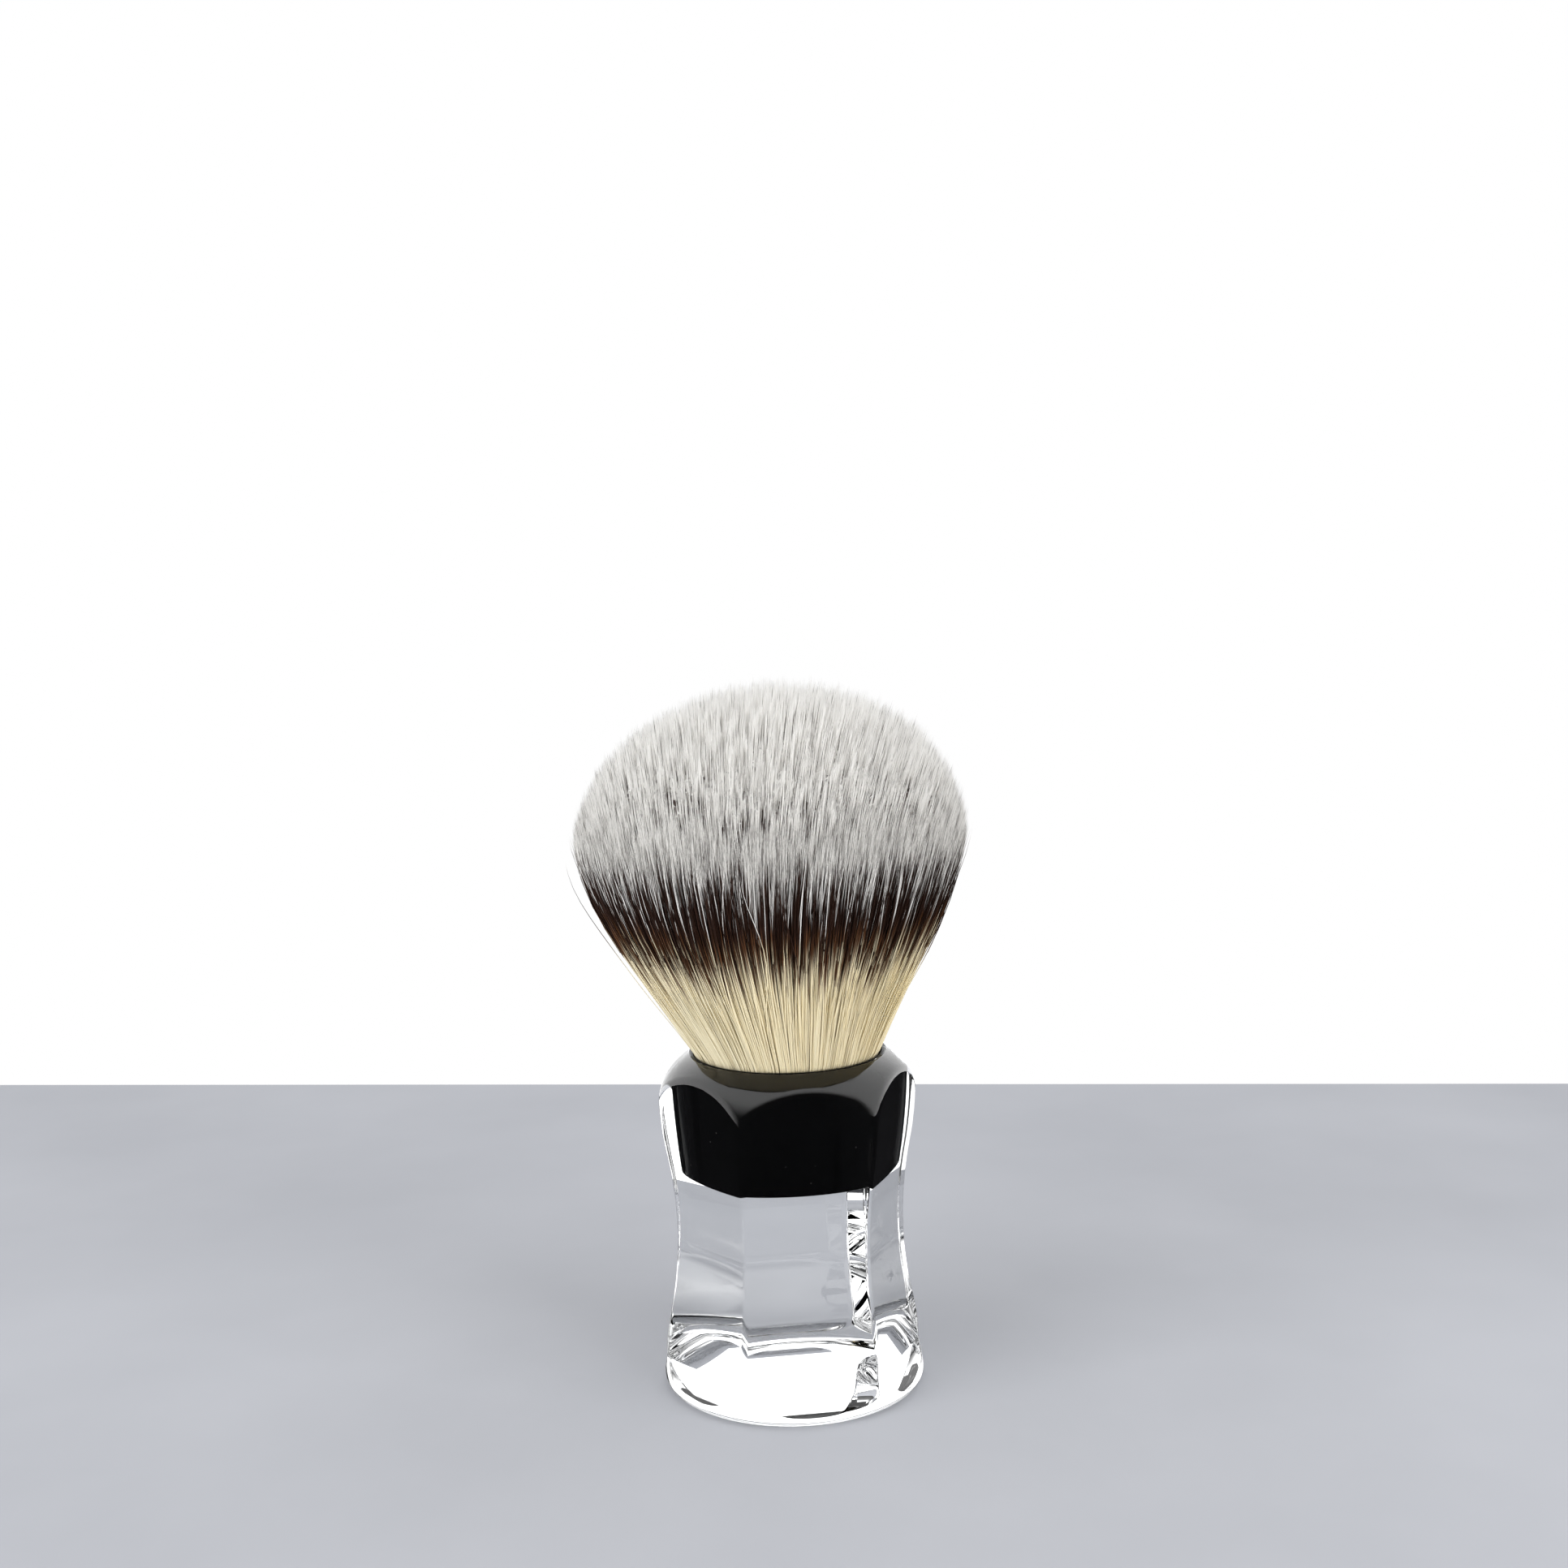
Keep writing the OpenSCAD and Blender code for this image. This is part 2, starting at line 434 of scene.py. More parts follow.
def read(items, attribute, kind, width=1):
    """One attribute of every item of a mesh, as an array."""
    values = np.zeros(len(items) * width, kind)
    items.foreach_get(attribute, values)
    return values


def set_uv(piece, uv):
    """Gives the piece the UV map that the bristles' material reads."""
    layer = piece.data.uv_layers.new(name="OFBake")
    corners = read(piece.data.loops, "vertex_index", np.int32)
    layer.data.foreach_set("uv", uv[corners].astype(np.float32).ravel())


def ring(radius, z, angles):
    """A plain ring of points."""
    c, s = np.cos(angles), np.sin(angles)
    return np.stack([radius * c, radius * s, np.full_like(c, z)], axis=-1)[None]


def lathe_faces(row_count, column_count):
    """Quads between neighbouring rows of a closed round grid, and a fan at each end.
    The two end points come after the grid."""
    row, column = np.meshgrid(np.arange(row_count - 1), np.arange(column_count), indexing="ij")
    after = (column + 1) % column_count
    here, there = row * column_count, (row + 1) * column_count
    quads = np.stack([here + column, here + after, there + after, there + column], -1)
    first_pole, last_pole = row_count * column_count, row_count * column_count + 1
    columns = np.arange(column_count)
    after = (columns + 1) % column_count
    last = (row_count - 1) * column_count
    start_fan = np.stack([np.full(column_count, first_pole), after, columns], -1)
    end_fan = np.stack([np.full(column_count, last_pole), last + columns, last + after], -1)
    return [quads.reshape(-1, 4), start_fan, end_fan]


def lathe_piece(name, grid, first_z, last_z):
    """A closed mesh from a grid of rings, with its two poles on the axis."""
    poles = np.array([[0, 0, first_z], [0, 0, last_z]])
    points = np.concatenate([grid.reshape(-1, 3), poles])
    return make_mesh(name, points, lathe_faces(*grid.shape[:2]))


# ---------------------------------------------------------------- the handle's pieces


def gradient(outside, points, step=0.004):
    """Direction in which the distance grows fastest, at each point."""
    slopes = []
    for axis in range(3):
        shift = np.zeros(3)
        shift[axis] = step
        ahead = outside(*(points + shift).T)
        behind = outside(*(points - shift).T)
        slopes.append(ahead - behind)
    normals = np.stack(slopes, -1)
    return normals / np.maximum(np.linalg.norm(normals, axis=1, keepdims=True), 1e-12)


def set_exact_normals(shell, outer_points):
    """Gives the shell the normals of its own surfaces, so that it refracts cleanly. A
    face that touches one of the first outer_points points is on the outside."""
    mesh = shell.data
    points = read(mesh.vertices, "co", np.float64, width=3).reshape(-1, 3) / MM
    corners = read(mesh.loops, "vertex_index", np.int32)
    totals = read(mesh.polygons, "loop_total", np.int32)
    face_of_corner = np.repeat(np.arange(len(totals)), totals)
    first_point = np.full(len(totals), len(points))
    np.minimum.at(first_point, face_of_corner, corners)
    on_outside = (first_point < outer_points)[face_of_corner]
    outer = gradient(shell_outside, points)[corners]
    inner = -gradient(core_outside, points)[corners]
    normals = np.where(on_outside[:, None], outer, inner)
    mesh.normals_split_custom_set(normals.tolist())


def build_shell():
    """The clear shell as one closed body: its outside, its flat lip and its bore."""
    angles = column_angles()
    outer = cast(shell_rows(), angles, shell_outside)
    inner = cast(core_rows(), angles, core_outside)[::-1]
    lips = [ring(LIP_R, LIP_Z, angles), ring(CORE_R, LIP_Z, angles)]
    grid = np.concatenate([outer[:-1]] + lips + [inner[1:]])
    shell = lathe_piece("clear_shell", grid, 0.0, CORE_Z)
    set_exact_normals(shell, (len(outer) - 1) * COLUMNS)
    return shell


def build_core():
    """The core's outside, its lip and the socket down to its floor."""
    angles = column_angles()
    outer = cast(core_rows(), angles, core_outside, CONTACT)
    lip_and_socket = [
        (CORE_R + CONTACT, LIP_Z - CORE_BEVEL),
        (CORE_R - CORE_BEVEL, LIP_Z + CONTACT),
        (MOUTH_R + SOCKET_BEVEL, LIP_Z + CONTACT),
        (MOUTH_R, LIP_Z - SOCKET_BEVEL),
        (SOCKET_R, FLARE_Z),
        (SOCKET_R, SOCKET_Z + SOCKET_BEVEL),
        (SOCKET_R - SOCKET_BEVEL, SOCKET_Z),
    ]
    rings = [ring(r, z, angles) for r, z in lip_and_socket]
    grid = np.concatenate([outer[:-1]] + rings)
    core = lathe_piece("black_core", grid, CORE_Z - CONTACT, SOCKET_Z)
    core.data.set_sharp_from_angle(angle=math.radians(SHARP_EDGE))
    return core


# ---------------------------------------------------------------- bristles


def swell(t, share):
    """How far the fan has opened at t, from 0 at the roots to 1 at the bloom or the tip."""
    return t + FAN_FULLNESS * t * t * (1 - t) * share**2


def lean(z):
    """The tuft isn't quite straight: how far it has drifted to one side at height z."""
    share = np.clip((z - LIP_Z) / (BRISTLE_TOP_Z - LIP_Z), 0, 1)
    return LEAN * np.sin(math.pi * share)[..., None] * CAMERA_LEFT


def height_share(z):
    """V in the bristles' UV map at height z."""
    return np.clip((z - ROOT_Z) / UV_HEIGHT, 0, 1)


def tip_point(share, rise):
    """Radius and height of a strand's tip, which stands off the dome by rise."""
    cos_tip = 1 - share**2
    return TIP_R * np.sqrt(1 - cos_tip**2), BLOOM_Z + DOME_H * cos_tip + rise


def centre_line(share, azimuth, rise, t):
    """Points at t along straight or bowed lines from the root to the tip."""
    tip_r, tip_z = tip_point(share, rise)
    root_r = share * ROOT_R
    r = root_r[:, None] + (tip_r - root_r)[:, None] * swell(t, share[:, None])
    z = ROOT_Z + (tip_z[:, None] - ROOT_Z) * t
    return np.stack([r * np.cos(azimuth)[:, None], r * np.sin(azimuth)[:, None], z], -1)


def wander(rng, azimuth, t, size):
    """A slow sideways drift, different for each line and growing to its tip."""
    count = len(azimuth)
    shift = np.zeros(t.shape + (3,))
    around = np.stack([-np.sin(azimuth), np.cos(azimuth), np.zeros(count)], -1)
    outward = np.stack([np.cos(azimuth), np.sin(azimuth), np.zeros(count)], -1)
    for direction, scale in ((around, 1.0), (outward, OUTWARD_WANDER)):
        amount = rng.normal(0, size * scale, count)[:, None]
        turns = rng.uniform(*WANDER_TURNS, count)[:, None]
        phase = rng.uniform(0, 2 * math.pi, count)[:, None]
        bend = np.sin(2 * math.pi * turns * t + phase) - np.sin(phase)
        slant = rng.normal(0, size * scale, count)[:, None]
        shift += ((amount * bend * t + slant * t**2)[..., None]) * direction[:, None, :]
    return shift


def wisp_wander(rng, azimuth, wisp, t, size):
    """The drift that every strand of a wisp shares, read off at each strand's own t."""
    steps = np.broadcast_to(np.linspace(0, 1, WISP_STEPS), (len(azimuth), WISP_STEPS))
    drift = wander(rng, azimuth, steps, size * WISP_WANDER)
    last = WISP_STEPS - 1
    place = np.clip(t * last, 0, last - 0.001)
    before = place.astype(int)
    part = (place - before)[..., None]
    return drift[wisp[:, None], before] * (1 - part) + drift[wisp[:, None], before + 1] * part


def draw_wisps(rng, count, first_share):
    """Place, rise, tint and grip of each wisp."""
    share = np.sqrt(rng.uniform(first_share**2, WISP_LAST_SHARE, count))
    azimuth = rng.uniform(0, 2 * math.pi, count)
    rise = WISP_RISE + rng.normal(0, WISP_RISE_SPREAD, count)
    rise -= np.abs(rng.normal(0, WISP_FALL, count))
    tint = rng.normal(0, WISP_TINT_SPREAD, count)
    grip = rng.uniform(*WISP_GRIP, count)
    return share, azimuth, rise, tint, grip


def draw_start(rng, layer, share):
    """Where each strand comes into view: at its root, or out of the mass beneath it."""
    if layer.shows_from is None:
        return np.zeros(len(share))
    return rng.uniform(*layer.shows_from, len(share)) - OUTER_DROP * share**4


def draw_strands(rng, layer):
    """Path, azimuth and tint of each strand of a layer."""
    count = layer.strands
    wisp_share, wisp_azimuth, wisp_rise, wisp_tint, grip = draw_wisps(
        rng, layer.wisps, layer.first_share)
    wisp = rng.integers(0, layer.wisps, count)
    share = np.clip(wisp_share[wisp] + rng.normal(0, STRAND_SPREAD, count), *SHARE_LIMITS)
    turned = rng.normal(0, STRAND_SPREAD, count) / np.maximum(share, SPREAD_INNER_SHARE)
    azimuth = wisp_azimuth[wisp] + turned
    rise = wisp_rise[wisp] + rng.normal(0, STRAND_RISE_SPREAD, count)
    start = draw_start(rng, layer, share)[:, None]
    t = start + (1 - start) * np.linspace(0, 1, layer.rings)[None, :]
    paths = centre_line(share, azimuth, rise, t)
    gathered = centre_line(wisp_share[wisp], wisp_azimuth[wisp], rise, t)
    hold = grip[wisp][:, None] * np.clip((t - GRIP_FROM) / (1 - GRIP_FROM), 0, 1)
    paths += (gathered - paths) * hold[..., None]
    paths += wander(rng, azimuth, t, layer.wave)
    paths += wisp_wander(rng, wisp_azimuth, wisp, t, layer.wave)
    tints = np.clip(0.5 + wisp_tint[wisp] + rng.normal(0, STRAND_TINT_SPREAD, count), 0, 1)
    return paths + lean(paths[..., 2]), azimuth, tints


def strand_points(paths, root_radius, tip_from):
    """The corners of every ring of each strand, then its tip. A strand keeps its width up
    to tip_from and then tapers."""
    along = np.linspace(0, 1, paths.shape[1])
    taper = np.clip((1 - along) / (1 - tip_from), 0, 1) ** TAPER_POWER
    radius = root_radius[:, None] * taper[None, :]
    tangent = np.gradient(paths, axis=1)
    tangent /= np.linalg.norm(tangent, axis=2, keepdims=True)
    side = np.cross(tangent, ACROSS_STRANDS)
    side /= np.linalg.norm(side, axis=2, keepdims=True)
    other = np.cross(tangent, side)
    rims = []
    for corner in range(SIDES):
        a = 2 * math.pi * corner / SIDES
        rims.append(paths + radius[..., None] * (math.cos(a) * side + math.sin(a) * other))
    body = np.stack(rims, axis=2)[:, :-1]
    return np.concatenate([body.reshape(len(paths), -1, 3), paths[:, -1:, :]], axis=1)


def strand_faces(count, rings):
    """Quads between the rings of every strand, a cap on its root and three faces that
    meet at its tip."""
    tip = SIDES * (rings - 1)
    top = SIDES * (rings - 2)
    corners = [(corner, (corner + 1) % SIDES) for corner in range(SIDES)]
    quads = []
    for base in range(0, top, SIDES):
        for here, after in corners:
            quads.append((base + here, base + after, base + SIDES + after, base + SIDES + here))
    caps = [(2, 1, 0)] + [(top + here, top + after, tip) for here, after in corners]
    first_points = (np.arange(count) * (tip + 1))[:, None, None]
    return [(first_points + np.array(quads)).reshape(-1, 4),
            (first_points + np.array(caps)).reshape(-1, 3)]


def strand_mesh(name, paths, root_radius, tints, tip_from):
    """One piece of closed strands. The UV map holds each strand's tint in U and the
    height above the roots in V."""
    count, rings, _ = paths.shape
    points = strand_points(paths, root_radius, tip_from)
    piece = make_mesh(name, points.reshape(-1, 3), strand_faces(count, rings))
    corner_u = np.append(np.tile(np.linspace(0, 1, SIDES), rings - 1), 0.5)
    u = tints[:, None] * (1 - STRAND_U) + corner_u[None, :] * STRAND_U
    set_uv(piece, np.stack([u.ravel(), height_share(points[..., 2]).ravel()], -1))
    return piece


def build_bristles():
    """Every layer of strands, cut into equal sectors round the axis, one piece each."""
    rng = np.random.default_rng(SEED)
    pieces = []
    for layer in LAYERS:
        paths, azimuth, tints = draw_strands(rng, layer)
        radius = rng.uniform(*layer.radii, layer.strands)
        sector = np.floor(np.mod(azimuth / (2 * math.pi), 1) * layer.sectors).astype(int)
        for k in range(layer.sectors):
            chosen = sector == k
            pieces.append(strand_mesh(f"{layer.name}_{k + 1}", paths[chosen], radius[chosen],
                                      tints[chosen], layer.tip_from))
    return pieces


def mass_rows():
    """Radius and height of each ring of the inner mass, and whether it is on the crown."""
    rows = []
    for t in np.linspace(0, 1, MASS_SIDE_RINGS):
        depth = ROOT_DEPTH + (SIDE_DEPTH - ROOT_DEPTH) * t
        r = ROOT_R + (BLOOM_R - ROOT_R) * swell(t, 1)
        rows.append((r - depth, ROOT_Z + (BLOOM_Z - ROOT_Z) * t, False))
    for a in np.radians(np.linspace(2, 88, MASS_CROWN_RINGS)):
        r = (BLOOM_R - SIDE_DEPTH) * math.cos(a)
        rows.append((r, BLOOM_Z + (DOME_H - CROWN_DEPTH) * math.sin(a), True))
    return rows


def build_inner_mass():
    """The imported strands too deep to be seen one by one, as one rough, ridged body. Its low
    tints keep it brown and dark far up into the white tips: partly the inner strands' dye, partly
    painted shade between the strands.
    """
    rng = np.random.default_rng(SEED + 1)
    angles = np.arange(MASS_COLUMNS) / MASS_COLUMNS * 2 * math.pi
    ridges = rng.normal(0, RIDGE_SPREAD, MASS_COLUMNS)
    rings, tints = [], []
    for r, z, on_crown in mass_rows():
        ridge = ridges * min(1.0, (z - ROOT_Z) / RIDGE_RUN) * r / BLOOM_R
        rough = rng.normal(0, CROWN_ROUGHNESS if on_crown else SIDE_ROUGHNESS, MASS_COLUMNS)
        ring_r = np.maximum(r + ridge + rough, MASS_LEAST_R)
        ring_z = z + rough * on_crown
        points = np.stack([ring_r * np.cos(angles), ring_r * np.sin(angles), ring_z], -1)
        rings.append(points + lean(ring_z))
        white = np.clip((z - MASS_WHITE_Z) / MASS_WHITE_RUN, 0, 1)
        # Low tints: the mass turns white late and stays dark, painted shade in the gaps between
        # the strands
        tint = rng.uniform(0, MASS_SHADE_TINT + MASS_WHITE_TINT * white, MASS_COLUMNS)
        tints.append(tint + MASS_TINT_RISE * white)
    grid = np.stack(rings)
    mass = lathe_piece("inner_bristles", grid, ROOT_Z, MASS_TOP_Z)
    u = np.append(np.stack(tints).ravel(), [0.0, MASS_TOP_TINT])
    v = height_share(np.append(grid[..., 2].ravel(), [ROOT_Z, MASS_TOP_Z]))
    set_uv(mass, np.stack([u, v], -1))
    return mass


# ---------------------------------------------------------------- materials


class Nodes:
    """Short calls for building one node tree. An input is a number, a colour, a vector or
    another node's output. An underscore in an input's name stands for a space."""

    def __init__(self, tree):
        self.tree = tree

    def add(self, kind, settings=None, **inputs):
        """A new node with its settings and its named inputs."""
        node = self.tree.nodes.new(kind)
        for key, value in (settings or {}).items():
            setattr(node, key, value)
        for key, value in inputs.items():
            self.feed(node, key.replace("_", " "), value)
        return node

    def feed(self, node, key, value):
        """Sets or links one input, given by its name or its number."""
        if isinstance(value, bpy.types.NodeSocket):
            self.tree.links.new(value, node.inputs[key])
        else:
            node.inputs[key].default_value = value

    def math(self, operation, a, b):
        node = self.add("ShaderNodeMath", {"operation": operation})
        self.feed(node, 0, a)
        self.feed(node, 1, b)
        return node.outputs[0]

    def scale_and_add(self, value, factor, base):
        return self.math("ADD", self.math("MULTIPLY", value, factor), base)

    def ramp(self, factor, stops):
        """Colours at their places along factor, from 0 to 1."""
        node = self.add("ShaderNodeValToRGB", Fac=factor)
        for element, (position, colour) in zip(node.color_ramp.elements, stops):
            element.position = position
            element.color = colour
        return node.outputs[0]

    def step(self, value, low, high):
        """0 below low, 1 above high and a smooth turn between them."""
        node = self.add("ShaderNodeMapRange", {"interpolation_type": "SMOOTHSTEP"}, Value=value)
        self.feed(node, 1, low)
        self.feed(node, 2, high)
        return node.outputs[0]

    def mix(self, factor, a, b):
        """A mix of two colours."""
        node = self.add("ShaderNodeMix", {"data_type": "RGBA"})
        self.feed(node, 0, factor)
        self.feed(node, 6, a)
        self.feed(node, 7, b)
        return node.outputs[2]

    def number_mix(self, factor, a, b):
        node = self.add("ShaderNodeMix")
        self.feed(node, 0, factor)
        self.feed(node, 2, a)
        self.feed(node, 3, b)
        return node.outputs[0]

    def stretch(self, vector, scale):
        return self.add("ShaderNodeMapping", Vector=vector, Scale=scale).outputs[0]

    def noise(self, vector, scale, detail):
        return self.add("ShaderNodeTexNoise", Vector=vector, Scale=scale, Detail=detail).outputs[0]

    def bump(self, height, strength, distance):
        node = self.add("ShaderNodeBump", Height=height, Strength=strength, Distance=distance)
        return node.outputs[0]

    def place(self):
        """Position on the object, in metres."""
        return self.add("ShaderNodeTexCoord").outputs["Object"]


class Material(Nodes):
    """The same calls on a new material, and on its surface shader."""

    def __init__(self, name):
        self.material = bpy.data.materials.new(name)
        self.material.use_nodes = True
        super().__init__(self.material.node_tree)
        self.surface = self.tree.nodes["Principled BSDF"]

    def set(self, **inputs):
        for key, value in inputs.items():
            self.feed(self.surface, key.replace("_", " "), value)


def screen(colour):
    """A shader's colour from 0 to 255 screen values."""
    levels = [v / 255 for v in colour]
    linear = [v / 12.92 if v < 0.04045 else ((v + 0.055) / 1.055) ** 2.4 for v in levels]
    return (*linear, 1)


def pair(colours):
    """Both colours of a pair as shader colours."""
    return [screen(colour) for colour in colours]


def bristle_material():
    """Synthetic filament, dyed in a band: cream, then brown, then white at the tip. Strands of low
    tint turn white late, which paints part of the shade between the strands.
    """
    n = Material("dyed_filament")
    uv = n.add("ShaderNodeUVMap", {"uv_map": "OFBake"}).outputs[0]
    parts = n.add("ShaderNodeSeparateXYZ", Vector=uv)
    tint = parts.outputs[0]
    height = n.scale_and_add(parts.outputs[1], UV_HEIGHT, ROOT_Z - LIP_Z)
    centred = n.math("SUBTRACT", tint, 0.5)
    fine = n.noise(n.stretch(uv, (70, 1.2, 1)), scale=1.0, detail=1.0)
    tone = n.noise(n.stretch(uv, (31, 5, 1)), scale=1.0, detail=2.0)
    brown_from = n.scale_and_add(centred, BROWN_RAGGED, BROWN_FROM)
    dark_from = n.math("ADD", brown_from, DARK_AFTER)
    # Strands of low tint turn white late: dark streaks among the white tips, partly painted shade
    # of the gaps
    late = n.math("MAXIMUM", n.math("SUBTRACT", LATE_TINT, tint), 0.0)
    white_from = n.scale_and_add(centred, WHITE_RAGGED, WHITE_FROM)
    white_from = n.math("ADD", white_from, n.math("MULTIPLY", late, LATE_SHADE_RAGGED))
    browned = n.step(height, brown_from, dark_from)
    darkened = n.step(height, dark_from, n.math("ADD", dark_from, DARK_RUN))
    whitened = n.step(height, n.math("SUBTRACT", white_from, WHITE_HALF_RUN),
                      n.math("ADD", white_from, WHITE_HALF_RUN))
    colour = n.mix(browned, n.mix(fine, *pair(CREAM)), n.mix(tone, *pair(BROWN)))
    colour = n.mix(darkened, colour, n.mix(tone, *pair(DARK_BROWN)))
    colour = n.mix(whitened, colour, n.mix(fine, *pair(WHITE)))
    n.set(Base_Color=colour, IOR=1.5, Specular_IOR_Level=0.35)
    n.set(Roughness=n.scale_and_add(fine, factor=0.16, base=0.38))
    n.set(Normal=n.bump(tone, strength=0.15, distance=0.00004))
    return n.material


def clear_material():
    """Clear cast resin, polished: faint long ripples and a few finer rubbing marks."""
    n = Material("clear_cast_resin")
    place = n.place()
    ripple = n.noise(place, scale=45.0, detail=1.0)
    marks = n.noise(n.stretch(place, (1, 1, 0.15)), scale=900.0, detail=3.0)
    n.set(Base_Color=(0.985, 0.993, 0.998, 1), IOR=1.49, Transmission_Weight=1.0)
    rubbed = n.step(marks, low=0.66, high=0.8)
    n.set(Roughness=n.math("MULTIPLY", rubbed, 0.06))
    n.set(Normal=n.bump(ripple, strength=0.006, distance=0.0003))
    return n.material


def black_material():
    """Black moulded resin with a trace of dust in the casting."""
    n = Material("black_resin")
    place = n.place()
    cloud = n.noise(place, scale=120.0, detail=3.0)
    black = n.mix(cloud, (0.0012, 0.0012, 0.0014, 1), (0.003, 0.003, 0.0034, 1))
    dust = n.add("ShaderNodeTexVoronoi", {"feature": "F1"}, Vector=place, Scale=420.0).outputs[0]
    clean = n.step(dust, low=0.03, high=0.06)
    speck = n.math("MULTIPLY", n.math("SUBTRACT", 1.0, clean), 0.3)
    n.set(Base_Color=n.mix(speck, black, (0.2, 0.19, 0.18, 1)), Specular_IOR_Level=0.02)
    n.set(Roughness=n.scale_and_add(cloud, factor=0.06, base=0.05))
    n.set(Normal=n.bump(cloud, strength=0.02, distance=0.00005))
    return n.material


def hidden_material(name, dark, light, scale, stretch, bump_depth):
    """Resin, bonded filament ends or thread: streaks of two tones over a soft bump."""
    n = Material(name)
    streak = n.noise(n.stretch(n.place(), stretch), scale=scale, detail=4.0)
    n.set(Base_Color=n.ramp(streak, [(0.3, screen(dark)), (0.7, screen(light))]))
    n.set(Roughness=n.scale_and_add(streak, factor=0.3, base=0.35))
    n.set(Normal=n.bump(streak, strength=0.5, distance=bump_depth))
    return n.material


def floor_material():
    """Pale and matt, but dark in reflections, so that the black core stays black."""
    n = Material("pale_floor")
    mottle = n.noise(n.place(), scale=14.0, detail=4.0)
    darker, lighter = pair(FLOOR_PALE)
    pale = n.ramp(mottle, [(0.3, darker), (0.7, lighter)])
    path = n.add("ShaderNodeLightPath").outputs
    reflected = n.math("SUBTRACT", path["Is Glossy Ray"], path["Is Transmission Ray"])
    n.set(Base_Color=n.mix(reflected, pale, (0.02, 0.02, 0.022, 1)))
    n.set(Roughness=0.55, Specular_IOR_Level=0.0)
    n.set(Normal=n.bump(mottle, strength=0.05, distance=0.001))
    return n.material


# ---------------------------------------------------------------- the object


def dress(piece, material, node):
    """Gives a new piece its material and body, and hides the CAD node that it stands for."""
    piece.data.materials.append(material)
    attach(piece, BODY)
    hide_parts(node)


def paint(node, material):
    """Gives a CAD node that is kept as it is its material."""
    for material_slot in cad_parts[node].material_slots:
        material_slot.material = material


dress(build_shell(), clear_material(), "outer_shell")
dress(build_core(), black_material(), "socket_core")
filament = bristle_material()
for bristles in build_bristles() + [build_inner_mass()]:
    dress(bristles, filament, "bristle_tuft")

paint("setting_resin", hidden_material(
    "set_adhesive", dark=(150, 118, 70), light=(190, 160, 110),
    scale=300.0, stretch=(1, 1, 1), bump_depth=0.0001))
paint("knot_plug", hidden_material(
    "bonded_filament_ends", dark=(176, 154, 110), light=(222, 208, 168),
    scale=1500.0, stretch=(1, 1, 0.04), bump_depth=0.0001))
paint("binding_thread", hidden_material(
    "waxed_thread", dark=(188, 176, 150), light=(226, 218, 198),
    scale=2600.0, stretch=(1, 1, 0.5), bump_depth=0.00008))

# ---------------------------------------------------------------- the studio


def build_floor():
    """A pale table top, nearly square to the camera, that ends a little way behind the
    brush."""
    a = math.radians(CAMERA_AZIMUTH + FLOOR_TURN)
    right, back = np.array([math.cos(a), math.sin(a)]), np.array([-math.sin(a), math.cos(a)])
    corners = []
    for across, along in ((-1, -1), (1, -1), (1, 1), (-1, 1)):
        x, y = right * across * FLOOR_SIDE + back * along * FLOOR_BEHIND
        corners.append((x, y, -FLOOR_GAP))
    floor = make_mesh("floor", corners, [np.array([[0, 1, 2, 3]])])
    floor.data.materials.append(floor_material())


def build_world():
    """White for the camera. For the light itself, a bright backdrop behind the brush and
    to its sides, a bright ceiling, and a dim room on the camera's side."""
    world = bpy.data.worlds.new("studio")
    bpy.context.scene.world = world
    world.use_nodes = True
    world.node_tree.nodes.clear()
    n = Nodes(world.node_tree)
    direction = n.add("ShaderNodeTexCoord").outputs["Generated"]
    a = math.radians(CAMERA_AZIMUTH)
    along = n.add("ShaderNodeVectorMath", {"operation": "DOT_PRODUCT"})
    n.feed(along, 0, direction)
    n.feed(along, 1, (-math.sin(a), math.cos(a), 0.0))
    up = n.add("ShaderNodeSeparateXYZ", Vector=direction).outputs["Z"]
    behind = n.step(along.outputs["Value"], *BACKDROP_FADE)
    bright = n.math("MAXIMUM", behind, n.step(up, *CEILING_FADE))
    matt = n.scale_and_add(bright, MATT_BRIGHT, MATT_DIM)
    shiny = n.scale_and_add(bright, SHINY_BRIGHT, SHINY_DIM)
    path = n.add("ShaderNodeLightPath").outputs
    level = n.number_mix(path["Is Diffuse Ray"], shiny, matt)
    level = n.number_mix(path["Is Camera Ray"], level, 1.0)
    background = n.add("ShaderNodeBackground", Color=(1.0, 1.0, 1.0, 1), Strength=level)
    n.add("ShaderNodeOutputWorld", Surface=background.outputs[0])


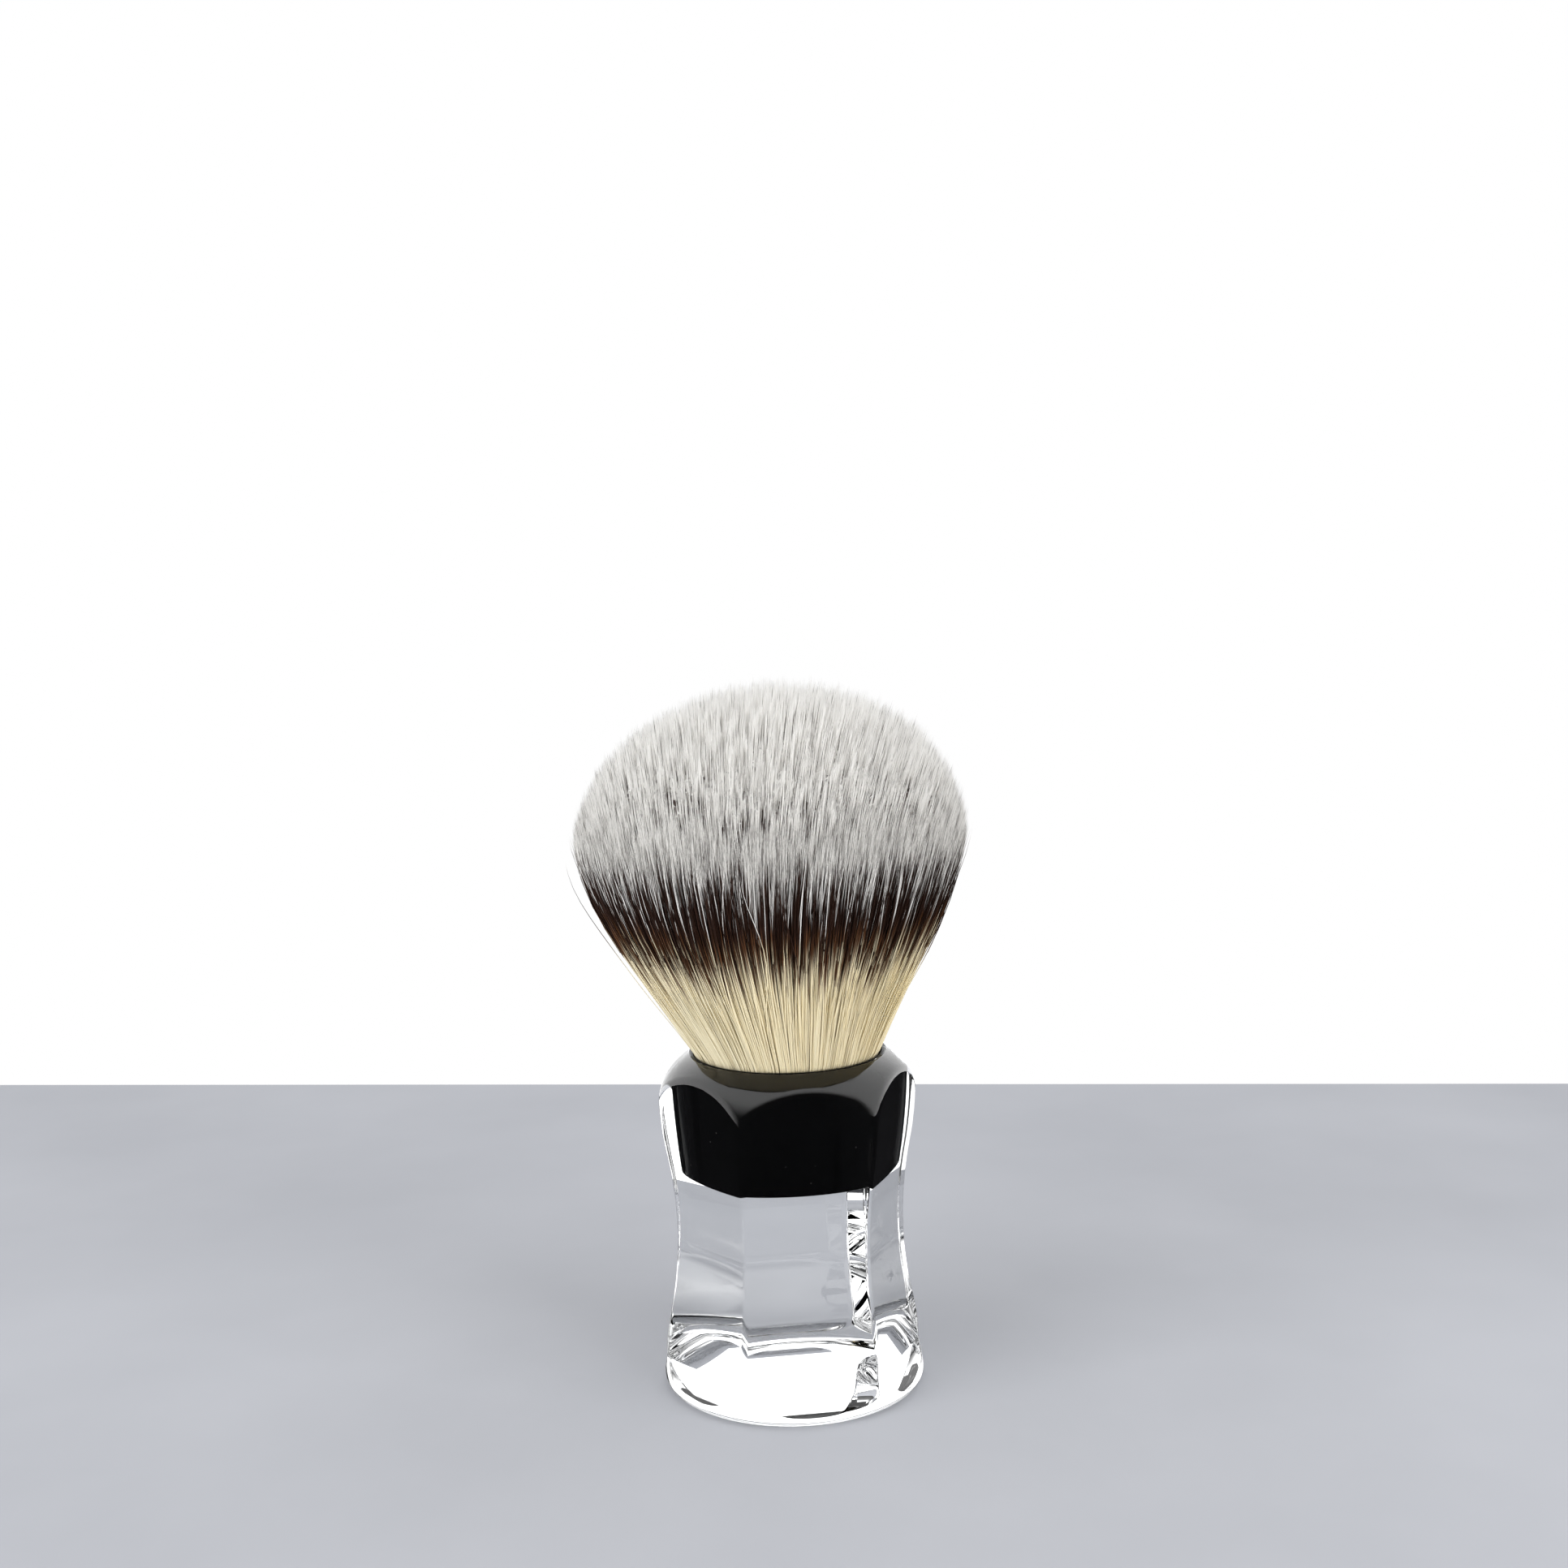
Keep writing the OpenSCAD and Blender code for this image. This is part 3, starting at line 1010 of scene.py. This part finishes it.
def add_fill(name, azimuth):
    """A square soft lamp aimed at the brush, lit but never seen or reflected."""
    light = bpy.data.lights.new(name, "AREA")
    light.size = FILL_W * MM
    light.energy = FILL_WATTS
    lamp = bpy.data.objects.new(name, light)
    bpy.context.scene.collection.objects.link(lamp)
    a, e = math.radians(azimuth), math.radians(FILL_ELEVATION)
    away = np.array([math.sin(a) * math.cos(e), -math.cos(a) * math.cos(e), math.sin(e)])
    lamp.location = (away * FILL_AWAY + np.array([0, 0, FILL_AIM_Z])) * MM
    lamp.rotation_mode = "QUATERNION"
    lamp.rotation_quaternion = Vector(away).to_track_quat("Z", "Y")
    lamp.visible_camera = False
    lamp.visible_glossy = False
    lamp.visible_transmission = False


def build_camera():
    """The camera, at the eye's place and with its small roll."""
    camera = bpy.data.cameras.new("camera")
    camera.lens = CAMERA_LENS
    camera.sensor_width = 36.0
    camera.clip_start, camera.clip_end = 0.01, 10
    holder = bpy.data.objects.new("camera", camera)
    bpy.context.scene.collection.objects.link(holder)
    a = math.radians(CAMERA_AZIMUTH)
    away = CAMERA_DISTANCE * MM
    holder.location = (math.sin(a) * away, -math.cos(a) * away, CAMERA_HEIGHT * MM)
    aim = Matrix.Rotation(a + math.radians(CAMERA_YAW), 4, "Z")
    aim @= Matrix.Rotation(math.radians(90 - CAMERA_TILT), 4, "X")
    aim @= Matrix.Rotation(math.radians(-CAMERA_ROLL), 4, "Z")
    holder.rotation_mode = "QUATERNION"
    holder.rotation_quaternion = aim.to_quaternion()
    bpy.context.scene.camera = holder


def set_bounces():
    """Lets light bounce often enough to cross the shell."""
    cycles = bpy.context.scene.cycles
    cycles.max_bounces = 24
    cycles.transmission_bounces = 20
    cycles.glossy_bounces = 8
    cycles.diffuse_bounces = 6


build_floor()
build_world()
for side, turn in (("left", -FILL_TURN), ("right", FILL_TURN)):
    add_fill(f"fill_{side}", CAMERA_AZIMUTH + turn)
build_camera()
set_bounces()
# Plain screen colours, with no film look
bpy.context.scene.view_settings.view_transform = "Standard"
